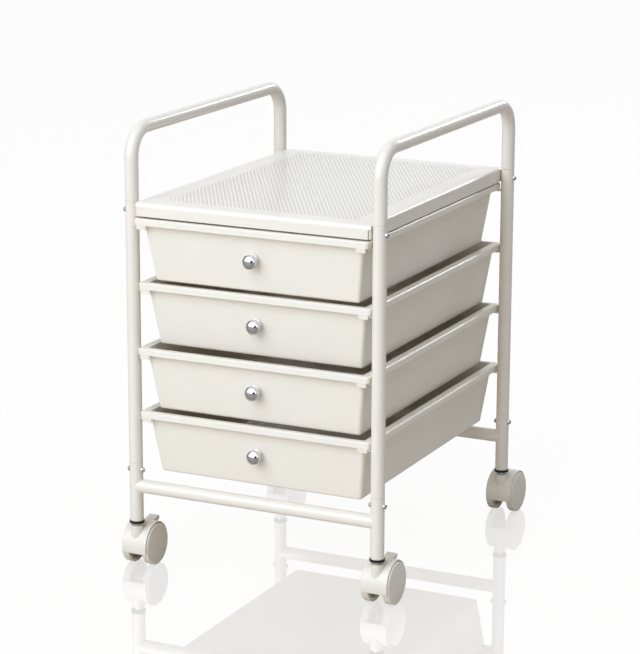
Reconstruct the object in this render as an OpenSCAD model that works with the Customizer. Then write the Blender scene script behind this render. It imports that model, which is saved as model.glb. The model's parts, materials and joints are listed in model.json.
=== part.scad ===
// Rolling drawer cart: four bins on a bolted tube frame, with a perforated top
// shelf, two side handles and four twin-wheel casters.
// Millimetres. X runs side to side, -Y is the front, Z is up and the floor is z = 0.

/* [Frame] */
// Spacing of the post axes, side to side
post_span_x = 314; // [280:1:400]
// Spacing of the post axes, front to back
post_span_y = 381; // [330:1:460]
// Outside diameter of the frame tube
tube_dia = 16; // [15:0.5:18]
// Wall of the frame tube
tube_wall = 1.2; // [1:0.1:1.6]
// Bevel on the outer edge of a tube's end
tube_edge = 0.2; // [0.1:0.1:0.6]
// Radius of the shoulder where a tube ends at a seam below it
seam_round = 0.9; // [0.5:0.1:1]
// Length of a leg, from the caster flange to the lower seam
leg_len = 72.2; // [68:0.1:110]
// Drop of the base bars' axis below the lower seam
base_bar_drop = 29.2; // [26:0.1:40]
// Gap between the lowest drawer and the base bars
base_bar_gap = 10.15; // [3:0.05:40]
// Height of the handle's axis above the upper seam
handle_rise = 82.3; // [60:0.1:140]
// Bend radius of the handle, at the tube's axis
handle_bend = 33; // [24:1:50]
// Length of the reduced tube end that plugs into the tube below
spigot_len = 20; // [17:0.5:26]
// Gap all round a spigot
spigot_gap = 0.1; // [0.05:0.05:0.3]

/* [Shelf] */
// Height of the folded edge
shelf_drop = 16.7; // [14:0.1:22]
// Thickness of the sheet
shelf_sheet = 1.2; // [0.8:0.1:2]
// Outside radius of the folded edges
shelf_bend = 5; // [3:0.5:7]
// Distance of the shelf's front face behind the front of the posts
shelf_inset = 0.7; // [0:0.1:3]
// Gap between the shelf's side and a post
shelf_gap = 0.2; // [0.1:0.1:0.5]
// Width of the slit where the folded edges meet at a corner
shelf_slit = 0.8; // [0.4:0.1:1.5]
// Plain border at the sides of the perforated field
field_border_x = 25; // [15:1:60]
// Plain border at the front and back of the perforated field
field_border_y = 21; // [15:1:60]
// Spacing of the holes in a row
hole_pitch = 19; // [17:0.5:40]
// Diameter of the holes
hole_dia = 4; // [2:0.5:8]

/* [Bolts] */
// Shank of the frame bolts
bolt_dia = 4; // [3:0.5:5]
// Radial gap round a bolt's shank
bolt_gap = 0.15; // [0.1:0.05:0.4]
// Diameter of the domed heads and cap nuts
bolt_head_dia = 6.8; // [6.4:0.1:9]
// Height of the domed heads and cap nuts
bolt_head_h = 3.4; // [2:0.1:4]
// Width across the flats of the nuts inside the shelf
nut_flats = 7; // [6:0.5:9]
// Thickness of those nuts
nut_h = 3.2; // [2:0.1:5]
// Drop of the shelf bolts below the upper seam
shelf_bolt_drop = 11; // [9:0.5:11.5]
// Drop of the leg bolts below the lower seam
leg_bolt_drop = 9.4; // [6:0.1:12]

/* [Drawers] */
// Gap between the shelf's folded edge and the top drawer
top_gap = 1.3; // [0.6:0.1:4]
// Depth of a bin, from rim to underside
bin_depth = 75.2; // [55:0.1:100]
// Gap between a bin's underside and the rim below it
drawer_gap = 2.35; // [1.5:0.05:10]
// How far each drawer is left out at rest, from the top drawer down
drawer_out = [8.3, 0, 3.8, 0]; // [0:0.1:20]
// Gap between the rim and the posts
rim_gap = 0.5; // [0.3:0.1:1.5]
// Distance of the closed rim behind the front of the posts
rim_inset = 3.5; // [1:0.1:8]
// Distance that the rim reaches past the back of the posts
rim_rear_reach = 0.5; // [-2:0.1:3]
// Thickness of the rim's flat top
rim_t = 2; // [1.5:0.1:3]
// Height of the down-turned lip, with the rim
lip_h = 8; // [6:0.1:12]
// Thickness of the lip
lip_t = 1.5; // [1:0.1:2.5]
// Corner radius of the rim, in plan
rim_corner = 3.5; // [2.5:0.5:6]
// Radius of the rim's upper edge
rim_edge = 1.5; // [0.5:0.1:1.5]
// Width of the rim at the sides, out to the lip's face
rim_side = 8.5; // [8:0.1:14]
// Width of the rim at the front
rim_front = 6.2; // [3.5:0.1:10]
// Width of the rim at the back
rim_rear = 3.6; // [2.5:0.1:10]
// Thickness of the bin's walls
bin_wall = 1.8; // [1.2:0.1:3]
// Thickness of the bin's floor
bin_floor = 2; // [1.5:0.1:3]
// Corner radius of the bin, in plan
bin_corner = 4; // [3:0.5:14]
// Radius of the edge between the walls and the floor
bin_foot_r = 3; // [2.5:0.5:7]
// Inward slope of the side walls, per millimetre of depth
draft_side = 0.133; // [0.05:0.001:0.16]
// Inward slope of the front wall, per millimetre of depth
draft_front = 0.16; // [0.05:0.01:0.2]
// Inward slope of the back wall, per millimetre of depth
draft_rear = 0.15; // [0.05:0.01:0.2]
// Width of the tabs that stop against the rails
tab_w = 12; // [6:0.5:20]
// Drop of the tabs below the lip
tab_drop = 4.7; // [3:0.1:6]
// Thickness of the tabs
tab_t = 1.8; // [1.2:0.1:3]

/* [Rails] */
// Thickness of the rail's sheet
rail_t = 1.2; // [1:0.1:1.6]
// Distance of the upright leg inside the drawer's lip
rail_inset = 3; // [1.5:0.1:4]
// Gap between the drawer and the rail
rail_gap = 0.3; // [0.2:0.05:0.6]
// Gap between the lip's lower edge and the rail
rail_lip_gap = 0.6; // [0.4:0.1:1.5]
// Gap beside the rail in the slots at the back of the lip
rail_slot_gap = 1; // [0.6:0.1:2]
// Length of the saddles that hold the rail to the posts
saddle_len = 12; // [10:0.5:20]
// Reach of the saddles round the posts
saddle_reach = 3.5; // [2:0.5:5]

/* [Knobs] */
// Diameter of the knob
knob_dia = 16.6; // [14:0.1:22]
// Length of the knob, from the seat to where its face begins to bulge
knob_len = 11.3; // [9:0.1:16]
// Height of the bulge of its face
knob_dome = 3; // [0.8:0.1:4]
// Radius of the head's edge
knob_edge = 1.2; // [0.8:0.1:4]
// Thickness of the skirt against the drawer
knob_skirt = 2.2; // [1.5:0.1:3]
// Width of the groove behind the head
knob_groove = 1.8; // [1:0.1:3]
// Depth of that groove
knob_groove_depth = 0.7; // [0.4:0.1:3]
// Diameter of the seat moulded on the drawer's front
knob_seat_dia = 15; // [10:0.5:17]
// Shank of the knob's screw
knob_screw_dia = 4; // [3:0.5:5]
// Depth that the screw goes into the knob
knob_screw_grip = 6.5; // [5:0.5:8]
// Diameter of the screw's head
knob_screw_head = 7.5; // [6:0.5:10]
// Height of the screw's head
knob_screw_head_h = 2.4; // [1.5:0.1:4]

/* [Casters] */
// Diameter of the wheels
wheel_dia = 50; // [44:1:60]
// Width of a wheel
wheel_w = 9; // [8:0.5:14]
// Distance between the two wheels of a caster
wheel_space = 18; // [16.5:0.5:22]
// Distance of the axle behind the stem
caster_trail = 17.5; // [16:0.5:24]
// Gap between the wheels and the hood
hood_gap = 0.9; // [0.5:0.1:2]
// Wall of the hood
hood_t = 1.4; // [1:0.1:2.5]
// Amount by which the hood is narrower than the wheels, on each side
hood_set_in = 1.8; // [0.5:0.1:3]
// Angle of the hood's front edge below the axle
hood_front_deg = 15; // [10:1:40]
// Angle of the hood's rear edge above the axle
hood_rear_deg = 20; // [5:1:35]
// Diameter of the boss that holds the stem
boss_dia = 15; // [11:0.1:16]
// Height of the boss's top above the axle
boss_rise = 27; // [26:0.5:34]
// Diameter of the axle
axle_dia = 6; // [5:0.5:8]
// Diameter of the stem
stem_dia = 8; // [6:0.5:9]
// Radial running gap on axle and stem
run_gap = 0.05; // [0.03:0.01:0.08]
// Diameter of the stem's collar
collar_dia = 9.6; // [9.2:0.1:12]
// Height of the collar
collar_h = 3; // [2:0.1:5]
// Diameter of the tube insert's flange
insert_dia = 18; // [17:0.5:20]
// Thickness of the insert's flange
insert_flange = 2.9; // [2:0.1:4]
// Depth of the insert in the tube
insert_len = 24; // [18:1:30]

/* [Wheel locks] */
// Width of the lever between the wheels
lever_w = 12.8; // [8:0.1:13]
// Thickness of the lever's tab
lever_t = 6; // [4:0.1:6]
// Diameter of the lever's pivots
lever_pivot_dia = 4; // [3:0.5:5]
// Gap between the lever and its slot, on each side
lever_gap = 0.5; // [0.3:0.1:0.8]

/* [Hidden] */
$fn = 48;
HULL_FN = 32;
EDGE_FN = 16;
// Overlap between pieces of one solid, and the length that lets a cut pass right through
EPS = 0.01;
THROUGH = 2;
SIDES = [-1, 1];

// Tube
tube_r = tube_dia / 2;
bore_r = tube_r - tube_wall;
spigot_r = bore_r - spigot_gap;
seam_web = 1;
post_x = post_span_x / 2;
inner_x = post_x - tube_r;

// Heights
wheel_r = wheel_dia / 2;
boss_top = wheel_r + boss_rise;
seat_gap = 0.3;
collar_z = boss_top + seat_gap;
flange_z = collar_z + collar_h;
leg_z = flange_z + insert_flange;
low_seam = leg_z + leg_len;
bar_z = low_seam - base_bar_drop;
drawer_pitch = bin_depth + drawer_gap;
top_seam = bar_z + tube_r + base_bar_gap + bin_depth + 3 * drawer_pitch + top_gap + shelf_drop;
post_len = top_seam - low_seam;
shelf_bolt_z = top_seam - shelf_bolt_drop;
leg_bolt_z = low_seam - leg_bolt_drop;
shelf_top = top_seam;

// Casters
wheel_web_gap = 0.5;
hub_wall = 5.5;
boss_root = 8;
stem_depth = 15;
hood_r = wheel_r + hood_gap + hood_t;
caster_half = wheel_space / 2 + wheel_w;
hood_half = caster_half - hood_set_in;
web_half = wheel_space / 2 - wheel_web_gap;
hub_r = axle_dia / 2 + hub_wall;

// Wheels
WHEEL_RIBS = 6;
wheel_tread = 3.5;
wheel_edge = 1.2;
wheel_face = 2.6;
wheel_hub_wall = 3.5;
wheel_hub_r = axle_dia / 2 + wheel_hub_wall;
wheel_hub_gap = 0.2;
wheel_rib_t = 1.2;
wheel_rib_drop = 3;
axle_cover = 2.4;
axle_end_gap = 0.6;
axle_bevel = 0.5;
axle_hole = wheel_w - axle_cover;

// Knob seat: its face stands upright, just proud of the sloping front wall
seat_proud = 0.2;
knob_drop = bin_depth / 2;
seat_r = knob_seat_dia / 2;
seat_face = rim_front + draft_front * (knob_drop - knob_dia / 2) - seat_proud;
seat_back = rim_front + draft_front * (knob_drop + seat_r) + bin_wall + seat_proud;

// The origin is under the middle of everything at rest, from the knob of the
// drawer that stands out furthest to the back of the trailing casters
front_reach = post_span_y / 2 + tube_r - rim_inset + max(drawer_out)
    - seat_face + knob_len + knob_dome;
rear_reach = post_span_y / 2 + caster_trail + max(wheel_r, hood_r * cos(hood_rear_deg));
mid_y = (front_reach - rear_reach) / 2;
front_y = mid_y - post_span_y / 2;
rear_y = mid_y + post_span_y / 2;
POST_Y = [front_y, rear_y];

// Shelf
shelf_w = 2 * (inner_x - shelf_gap);
shelf_d = post_span_y + 2 * (tube_r - shelf_inset);

// Drawers, from the rim's own front
rim_half = inner_x - rim_gap;
rim_y0 = front_y - tube_r + rim_inset;
rim_len = rear_y + tube_r + rim_rear_reach - rim_y0;
bin_half = rim_half - rim_side;
top_rim_z = shelf_top - shelf_drop - top_gap;
tab_inset = rim_corner;

// Rails
rail_x = rim_half - lip_t - rail_inset;
rail_y0 = rim_y0 + tab_t + rail_gap;
rail_len = rear_y + tube_r - rim_inset - rail_y0;
rail_foot_x = bin_half + rail_gap;

// Knob screw
screw_len = knob_screw_grip + seat_back - seat_face;

// Frame bolts
nut_tail = 1;
shelf_bolt_len = tube_dia + shelf_gap + shelf_sheet + nut_h + nut_tail;
cap_nut_depth = bolt_head_h / 2;
leg_bolt_len = tube_dia + cap_nut_depth;

// Lever: its eye, neck, heel and tip, from the caster's stem axis and the floor
eye_wall = 1.2;
EYE_SET = [4.5, 16.5];
NECK_SET = [9, 1];
TIP_SET = [-2, -2.3];
HEEL_SET = [-8, -1.5];
lever_eye = [caster_trail, wheel_r] + EYE_SET;
lever_neck = lever_eye + NECK_SET;
lever_tip = [caster_trail + wheel_r, boss_top] + TIP_SET;
lever_heel = lever_tip + HEEL_SET;

// Pocket for the lever in the hood
pocket_lead = 7;
slot_lead = 4.5;
pocket_gap = 0.5;
pocket_start = lever_eye[0] - pocket_lead;
slot_start = lever_eye[0] + slot_lead;
pocket_floor = wheel_r + hub_r + pocket_gap;

FRAME_WHITE = [0.94, 0.93, 0.91];
BIN_WHITE = [0.93, 0.93, 0.90];
RAIL_WHITE = [0.90, 0.90, 0.88];
CASTER_WHITE = [0.91, 0.90, 0.86];
CHROME = [0.75, 0.76, 0.78];
STEEL = [0.62, 0.62, 0.64];
BLACK = [0.05, 0.05, 0.05];

// Shapes that several pieces share

// Tube with bevelled ends, standing on the XY plane
module tube(len) {
    rotate_extrude()
        polygon([[bore_r, 0], [tube_r - tube_edge, 0], [tube_r, tube_edge],
                 [tube_r, len - tube_edge], [tube_r - tube_edge, len], [bore_r, len]]);
}

// Reduced end that hangs below a seam, with the web that joins it to its tube
module spigot() {
    difference() {
        union() {
            translate([0, 0, -spigot_len])
                cylinder(r = spigot_r, h = spigot_len + EPS);
            cylinder(r = tube_r - seam_round, h = seam_web);
        }
        translate([0, 0, -spigot_len - EPS])
            cylinder(r = spigot_r - tube_wall, h = spigot_len + seam_web + 2 * EPS);
    }
}

// Ring that rounds the outer edge of a tube's lower end
module seam_cut() {
    rotate_extrude()
        difference() {
            translate([tube_r - seam_round, -EPS])
                square(seam_round + EPS);
            translate([tube_r - seam_round, seam_round])
                circle(r = seam_round, $fn = EDGE_FN);
        }
}

// Cross hole for a frame bolt
module bolt_hole(z, len) {
    translate([-len / 2, 0, z])
        rotate([0, 90, 0])
            cylinder(r = bolt_dia / 2 + bolt_gap, h = len);
}

// Domed head, standing on the XY plane
module dome(dia, h) {
    ball_r = (pow(dia / 2, 2) + pow(h, 2)) / (2 * h);
    rotate_extrude()
        intersection() {
            translate([0, h - ball_r])
                circle(r = ball_r);
            square([dia / 2, h]);
        }
}

// Extrusion along X, centred, of a profile drawn in Y and Z
module along_x(width) {
    translate([-width / 2, 0, 0])
        rotate([90, 0, 90])
            linear_extrude(height = width)
                children();
}

// Upright rounded rectangle without a bottom edge: flat foot, round shoulders
module shouldered(width, height, r) {
    translate([-width / 2, -height])
        square([width, height - r]);
    translate([-width / 2 + r, -height])
        square([width - 2 * r, height]);
    for (s = SIDES)
        translate([s * (width / 2 - r), -r])
            circle(r = r);
}

// Frame

// Solid bar bent as an upside-down U, in the YZ plane
module bent_bar(r) {
    rise = handle_rise - handle_bend;
    for (s = SIDES) {
        translate([0, s * post_span_y / 2, 0])
            cylinder(r = r, h = rise);
        translate([0, s * (post_span_y / 2 - handle_bend), rise])
            rotate([0, -90, 0])
                rotate([0, 0, s > 0 ? 0 : -90])
                    rotate_extrude(angle = 90)
                        translate([handle_bend, 0])
                            circle(r = r);
    }
    translate([0, post_span_y / 2 - handle_bend, handle_rise])
        rotate([90, 0, 0])
            cylinder(r = r, h = post_span_y - 2 * handle_bend);
}

module handle(side) {
    color(FRAME_WHITE)
        translate([side * post_x, mid_y, top_seam])
            difference() {
                union() {
                    difference() {
                        bent_bar(tube_r);
                        bent_bar(bore_r);
                        for (s = SIDES)
                            translate([0, s * post_span_y / 2, 0])
                                seam_cut();
                    }
                    for (s = SIDES)
                        translate([0, s * post_span_y / 2, 0])
                            spigot();
                }
                for (s = SIDES)
                    translate([0, s * post_span_y / 2, 0])
                        bolt_hole(-shelf_bolt_drop, tube_dia);
            }
}

module post(side, end) {
    color(FRAME_WHITE)
        translate([side * post_x, POST_Y[end], low_seam])
            difference() {
                union() {
                    difference() {
                        tube(post_len);
                        seam_cut();
                    }
                    spigot();
                }
                bolt_hole(post_len - shelf_bolt_drop, tube_dia + THROUGH);
                bolt_hole(-leg_bolt_drop, tube_dia);
            }
}

module leg(side, end) {
    color(FRAME_WHITE)
        translate([side * post_x, POST_Y[end], leg_z])
            difference() {
                tube(leg_len);
                bolt_hole(leg_len - leg_bolt_drop, tube_dia + THROUGH);
            }
}

// Base bar, coped to the legs that it is welded to
module base_bar(end) {
    color(FRAME_WHITE)
        translate([0, POST_Y[end], bar_z])
            difference() {
                rotate([0, 90, 0])
                    cylinder(r = tube_r, h = post_span_x, center = true);
                rotate([0, 90, 0])
                    cylinder(r = bore_r, h = post_span_x + THROUGH, center = true);
                for (s = SIDES)
                    translate([s * post_x, 0, 0])
                        cylinder(r = tube_r, h = 3 * tube_dia, center = true);
            }
}

// Shelf

// Block with the folded edges' outline, under the XY plane
module shelf_block(width, depth, height, r) {
    intersection() {
        rotate([90, 0, 0])
            linear_extrude(height = depth, center = true)
                shouldered(width, height, r);
        rotate([90, 0, 90])
            linear_extrude(height = width, center = true)
                shouldered(depth, height, r);
    }
}

// Staggered rows of holes, centred on the field
module hole_field() {
    field_w = shelf_w - 2 * field_border_x - hole_dia;
    field_d = shelf_d - 2 * field_border_y - hole_dia;
    row_gap = hole_pitch * sqrt(3) / 2;
    cols = floor(field_w / hole_pitch);
    rows = floor(field_d / row_gap);
    for (j = [0:rows])
        for (i = [0:cols - j % 2])
            translate([(i - (cols - j % 2) / 2) * hole_pitch, (j - rows / 2) * row_gap, 0])
                cylinder(d = hole_dia, h = 3 * shelf_sheet, center = true);
}

module shelf() {
    color(FRAME_WHITE)
        translate([0, mid_y, shelf_top])
            difference() {
                shelf_block(shelf_w, shelf_d, shelf_drop, shelf_bend);
                translate([0, 0, -shelf_sheet])
                    shelf_block(shelf_w - 2 * shelf_sheet, shelf_d - 2 * shelf_sheet,
                                shelf_drop, shelf_bend - shelf_sheet);
                for (sx = SIDES, sy = SIDES)
                    translate([sx * (shelf_w - shelf_sheet) / 2,
                               sy * (shelf_d / 2 - shelf_sheet - shelf_slit / 2),
                               -shelf_drop / 2 - shelf_bend])
                        cube([2 * shelf_sheet, shelf_slit, shelf_drop], center = true);
                for (s = SIDES)
                    translate([0, s * post_span_y / 2, 0])
                        bolt_hole(-shelf_bolt_drop, shelf_w + THROUGH);
                hole_field();
            }
}

// Side rails, with saddles welded to the posts

module rail(side, level) {
    lip_z = top_rim_z - level * drawer_pitch - lip_h;
    leg_top = lip_z - rail_lip_gap;
    upright = lip_z + lip_h - rim_t - rail_gap - leg_top + rail_t;
    color(RAIL_WHITE)
        difference() {
            scale([side, 1, 1])
                union() {
                    translate([rail_foot_x, rail_y0, leg_top - rail_t])
                        cube([rail_x - rail_foot_x, rail_len, rail_t]);
                    translate([rail_x - rail_t, rail_y0, leg_top - rail_t])
                        cube([rail_t, rail_len, upright]);
                    for (y = [rail_y0, rail_y0 + rail_len - saddle_len])
                        translate([rail_x - EPS, y, leg_top - rail_t])
                            cube([inner_x - rail_x + saddle_reach + EPS, saddle_len, rail_t]);
                }
            for (y = POST_Y)
                translate([side * post_x, y, leg_top - 2 * rail_t])
                    cylinder(r = tube_r, h = 3 * rail_t);
        }
}

// Frame fasteners

module shelf_bolt(side) {
    translate([side * (post_x + tube_r), 0, 0])
        rotate([0, side * 90, 0]) {
            dome(bolt_head_dia, bolt_head_h);
            translate([0, 0, -shelf_bolt_len])
                cylinder(d = bolt_dia, h = shelf_bolt_len + EPS);
        }
}

module shelf_nut(side) {
    translate([side * (inner_x - shelf_gap - shelf_sheet), 0, 0])
        rotate([0, -side * 90, 0])
            difference() {
                cylinder(r = nut_flats / sqrt(3), h = nut_h, $fn = 6);
                translate([0, 0, -EPS])
                    cylinder(d = bolt_dia, h = nut_h + 2 * EPS);
            }
}

module leg_bolt(side) {
    translate([side * (post_x + tube_r), 0, 0])
        rotate([0, side * 90, 0]) {
            dome(bolt_head_dia, bolt_head_h);
            translate([0, 0, -leg_bolt_len])
                cylinder(d = bolt_dia, h = leg_bolt_len + EPS);
        }
}

module leg_cap_nut(side) {
    translate([side * inner_x, 0, 0])
        rotate([0, -side * 90, 0])
            difference() {
                dome(bolt_head_dia, bolt_head_h);
                translate([0, 0, -EPS])
                    cylinder(d = bolt_dia, h = cap_nut_depth + EPS);
            }
}

// One copy of a fastener at each post
module at_posts(z) {
    for (sx = SIDES, y = POST_Y)
        translate([0, y, z]) {
            $side = sx;
            children();
        }
}

// Casters

module caster_insert() {
    difference() {
        union() {
            cylinder(d = insert_dia, h = insert_flange);
            cylinder(r = bore_r, h = insert_flange + insert_len);
        }
        translate([0, 0, -EPS])
            cylinder(d = stem_dia, h = insert_flange + insert_len + 2 * EPS);
    }
}

module caster_stem() {
    translate([0, 0, boss_top - stem_depth])
        cylinder(d = stem_dia, h = flange_z + insert_flange + insert_len - boss_top + stem_depth);
    translate([0, 0, collar_z])
        cylinder(d = collar_dia, h = collar_h);
}

// Sector from angle a to angle b, for cutting the hood's shell
module sector(a, b, r) {
    polygon(concat([[0, 0]], [for (k = [0:6]) 2 * r * [cos(a + (b - a) * k / 6),
                                                         sin(a + (b - a) * k / 6)]]));
}

module hood_shell() {
    translate([caster_trail, wheel_r])
        difference() {
            circle(r = hood_r);
            circle(r = hood_r - hood_t);
            sector(180 + hood_front_deg, 360 + hood_rear_deg, hood_r);
        }
}

// Centre web between the wheels, from the boss to the hub
module hood_web() {
    intersection() {
        translate([caster_trail, wheel_r])
            circle(r = hood_r - hood_t / 2);
        union() {
            translate([-boss_dia / 2, wheel_r])
                square([caster_trail + hub_r + boss_dia / 2, hood_r]);
            translate([caster_trail, wheel_r])
                circle(r = hub_r);
        }
    }
}

// Room for the wheel lock: a pocket in the web, a slot in the shell and the pivot holes
module lever_pocket() {
    along_x(lever_w + 2 * lever_gap) {
        intersection() {
            translate([caster_trail, wheel_r])
                circle(r = hood_r - hood_t);
            translate([pocket_start, pocket_floor])
                square(hood_r);
        }
        translate([slot_start, wheel_r])
            square(2 * hood_r);
    }
    translate([0, lever_eye[0], lever_eye[1]])
        rotate([0, 90, 0])
            cylinder(d = lever_pivot_dia + 2 * run_gap, h = 2 * web_half + THROUGH, center = true);
}

module hood(locking) {
    color(CASTER_WHITE)
        difference() {
            union() {
                along_x(2 * hood_half)
                    hood_shell();
                along_x(2 * web_half)
                    hood_web();
                translate([0, 0, wheel_r + boss_root])
                    cylinder(d = boss_dia, h = boss_rise - boss_root);
            }
            translate([0, caster_trail, wheel_r])
                rotate([0, 90, 0])
                    cylinder(d = axle_dia, h = 2 * caster_half, center = true);
            translate([0, 0, boss_top - stem_depth - seat_gap])
                cylinder(r = stem_dia / 2 + run_gap, h = stem_depth + THROUGH);
            if (locking)
                lever_pocket();
        }
}

module axle() {
    r = axle_dia / 2;
    len = wheel_space + 2 * (axle_hole - axle_end_gap);
    color(STEEL)
        translate([-len / 2, caster_trail, wheel_r])
            rotate([0, 90, 0])
                rotate_extrude()
                    polygon([[0, 0], [r - axle_bevel, 0], [r, axle_bevel],
                             [r, len - axle_bevel], [r - axle_bevel, len], [0, len]]);
}

// Half section of a wheel: radius along X, width along Y from the inner side
module wheel_section() {
    rim_r = wheel_r - wheel_tread;
    difference() {
        union() {
            translate([rim_r, wheel_edge])
                square([wheel_tread, wheel_w - 2 * wheel_edge]);
            translate([rim_r, 0])
                square([wheel_tread - wheel_edge, wheel_w]);
            for (y = [wheel_edge, wheel_w - wheel_edge])
                translate([wheel_r - wheel_edge, y])
                    circle(r = wheel_edge);
            translate([0, wheel_w - wheel_face])
                square([rim_r + EPS, wheel_face]);
            translate([0, wheel_hub_gap])
                square([wheel_hub_r, wheel_w - wheel_face]);
        }
        translate([-EPS, -EPS])
            square([axle_dia / 2 + run_gap + EPS, axle_hole + EPS]);
    }
}

// Ribs behind the wheel's face, from the hub to the tread
module wheel_ribs() {
    for (k = [1:WHEEL_RIBS])
        rotate([0, 0, 360 * k / WHEEL_RIBS])
            translate([wheel_hub_r - EPS, -wheel_rib_t / 2, wheel_rib_drop])
                cube([wheel_r - wheel_tread - wheel_hub_r + 2 * EPS, wheel_rib_t,
                      wheel_w - wheel_face - wheel_rib_drop + EPS]);
}

module wheel(side) {
    color(CASTER_WHITE)
        translate([side * wheel_space / 2, caster_trail, wheel_r])
            rotate([0, side * 90, 0]) {
                rotate_extrude()
                    wheel_section();
                wheel_ribs();
            }
}

// Length of the lever between two round spots of its side view
module lever_link(from, to, from_dia) {
    hull() {
        translate(from)
            circle(d = from_dia, $fn = HULL_FN);
        translate(to)
            circle(d = lever_t, $fn = HULL_FN);
    }
}

module lever() {
    color(CASTER_WHITE) {
        along_x(lever_w) {
            lever_link(lever_eye, lever_neck, lever_pivot_dia + 2 * eye_wall);
            lever_link(lever_neck, lever_heel, lever_t);
            lever_link(lever_heel, lever_tip, lever_t);
        }
        translate([0, lever_eye[0], lever_eye[1]])
            rotate([0, 90, 0])
                cylinder(d = lever_pivot_dia, h = 2 * web_half, center = true);
    }
}

module at_caster(side, end) {
    translate([side * post_x, POST_Y[end], 0])
        children();
}

// Drawers, drawn with the closed rim's front at y = 0 and its top at z = 0

// Flat plate with round corners, under the XY plane
module plate(x_half, y0, y1, r, t) {
    translate([-x_half + r, y0, -t])
        cube([2 * (x_half - r), y1 - y0, t]);
    translate([-x_half, y0 + r, -t])
        cube([2 * x_half, y1 - y0 - 2 * r, t]);
    for (s = SIDES, y = [y0 + r, y1 - r])
        translate([s * (x_half - r), y, -t])
            cylinder(r = r, h = t);
}

// Block under the rim's outline, its upper edge rounded
module rim_block() {
    hull()
        for (s = SIDES, y = [rim_corner, rim_len - rim_corner])
            translate([s * (rim_half - rim_corner), y, 0])
                rotate_extrude($fn = HULL_FN) {
                    translate([0, -lip_h])
                        square([rim_corner, lip_h - rim_edge]);
                    translate([rim_corner - rim_edge, -rim_edge])
                        intersection() {
                            circle(r = rim_edge, $fn = EDGE_FN);
                            square(rim_edge);
                        }
                }
}

// Tapered block with round corners and a round foot; grow moves every wall out
module bin_block(grow, top, depth) {
    half_top = bin_half + grow;
    half_low = half_top - draft_side * depth;
    y0_top = rim_front - grow;
    y0_low = y0_top + draft_front * depth;
    y1_top = rim_len - rim_rear + grow;
    y1_low = y1_top - draft_rear * depth;
    r_top = bin_corner + grow;
    r_low = bin_foot_r + grow;
    hull() {
        for (s = SIDES, y = [y0_top + r_top, y1_top - r_top])
            translate([s * (half_top - r_top), y, top - EPS])
                cylinder(r = r_top, h = EPS, $fn = HULL_FN);
        for (s = SIDES, y = [y0_low + r_low, y1_low - r_low])
            translate([s * (half_low - r_low), y, top - depth + r_low])
                sphere(r = r_low, $fn = HULL_FN);
    }
}

module knob_seat() {
    translate([0, seat_face, -knob_drop])
        rotate([-90, 0, 0])
            cylinder(r = seat_r, h = seat_back - seat_face);
}

// Slots in the back of the lip, where the rails' upright legs pass
module rail_slots() {
    for (s = SIDES)
        translate([s * (rail_x - rail_t / 2), rim_len - lip_t / 2, -rim_t - lip_h / 2])
            cube([rail_t + 2 * rail_slot_gap, 2 * lip_t, lip_h], center = true);
}

module drawer_body() {
    difference() {
        union() {
            difference() {
                union() {
                    difference() {
                        rim_block();
                        translate([0, 0, -rim_t])
                            plate(rim_half - lip_t, lip_t, rim_len - lip_t, rim_corner - lip_t, lip_h);
                    }
                    bin_block(0, 0, bin_depth);
                }
                bin_block(-bin_wall, EPS, bin_depth - bin_floor);
            }
            for (s = SIDES)
                translate([s * (rim_half - tab_inset - tab_w / 2) - tab_w / 2, 0, -lip_h - tab_drop])
                    cube([tab_w, tab_t, lip_h + tab_drop - rim_t + EPS]);
            knob_seat();
        }
        translate([0, seat_face - THROUGH, -knob_drop])
            rotate([-90, 0, 0])
                cylinder(r = knob_screw_dia / 2 + bolt_gap, h = seat_back - seat_face + 2 * THROUGH);
        rail_slots();
    }
}

module at_level(level) {
    translate([0, rim_y0 - drawer_out[level], top_rim_z - level * drawer_pitch])
        children();
}

module drawer(level) {
    color(BIN_WHITE)
        at_level(level)
            drawer_body();
}

// Half section of a knob: radius along X, length along Y from the seat
module knob_section() {
    r = knob_dia / 2;
    flat_r = r - knob_edge;
    edge_y = knob_len - knob_edge;
    face_r = knob_edge + (pow(flat_r, 2) + pow(knob_dome, 2)) / (2 * knob_dome);
    square([r, knob_skirt]);
    square([r - knob_groove_depth, edge_y]);
    translate([0, knob_skirt + knob_groove])
        square([r, edge_y - knob_skirt - knob_groove]);
    translate([flat_r, edge_y])
        circle(r = knob_edge);
    intersection() {
        translate([0, knob_len + knob_dome - face_r])
            circle(r = face_r);
        translate([0, edge_y])
            square([face_r * flat_r / (face_r - knob_edge), knob_edge + knob_dome]);
    }
}

module knob(level) {
    color(CHROME)
        at_level(level)
            translate([0, seat_face, -knob_drop])
                rotate([90, 0, 0])
                    difference() {
                        rotate_extrude()
                            knob_section();
                        translate([0, 0, -EPS])
                            cylinder(d = knob_screw_dia, h = knob_screw_grip + EPS);
                    }
}

module knob_screw(level) {
    color(STEEL)
        at_level(level)
            translate([0, seat_back, -knob_drop])
                rotate([-90, 0, 0]) {
                    dome(knob_screw_head, knob_screw_head_h);
                    translate([0, 0, -screw_len])
                        cylinder(d = knob_screw_dia, h = screw_len + EPS);
                }
}

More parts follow.
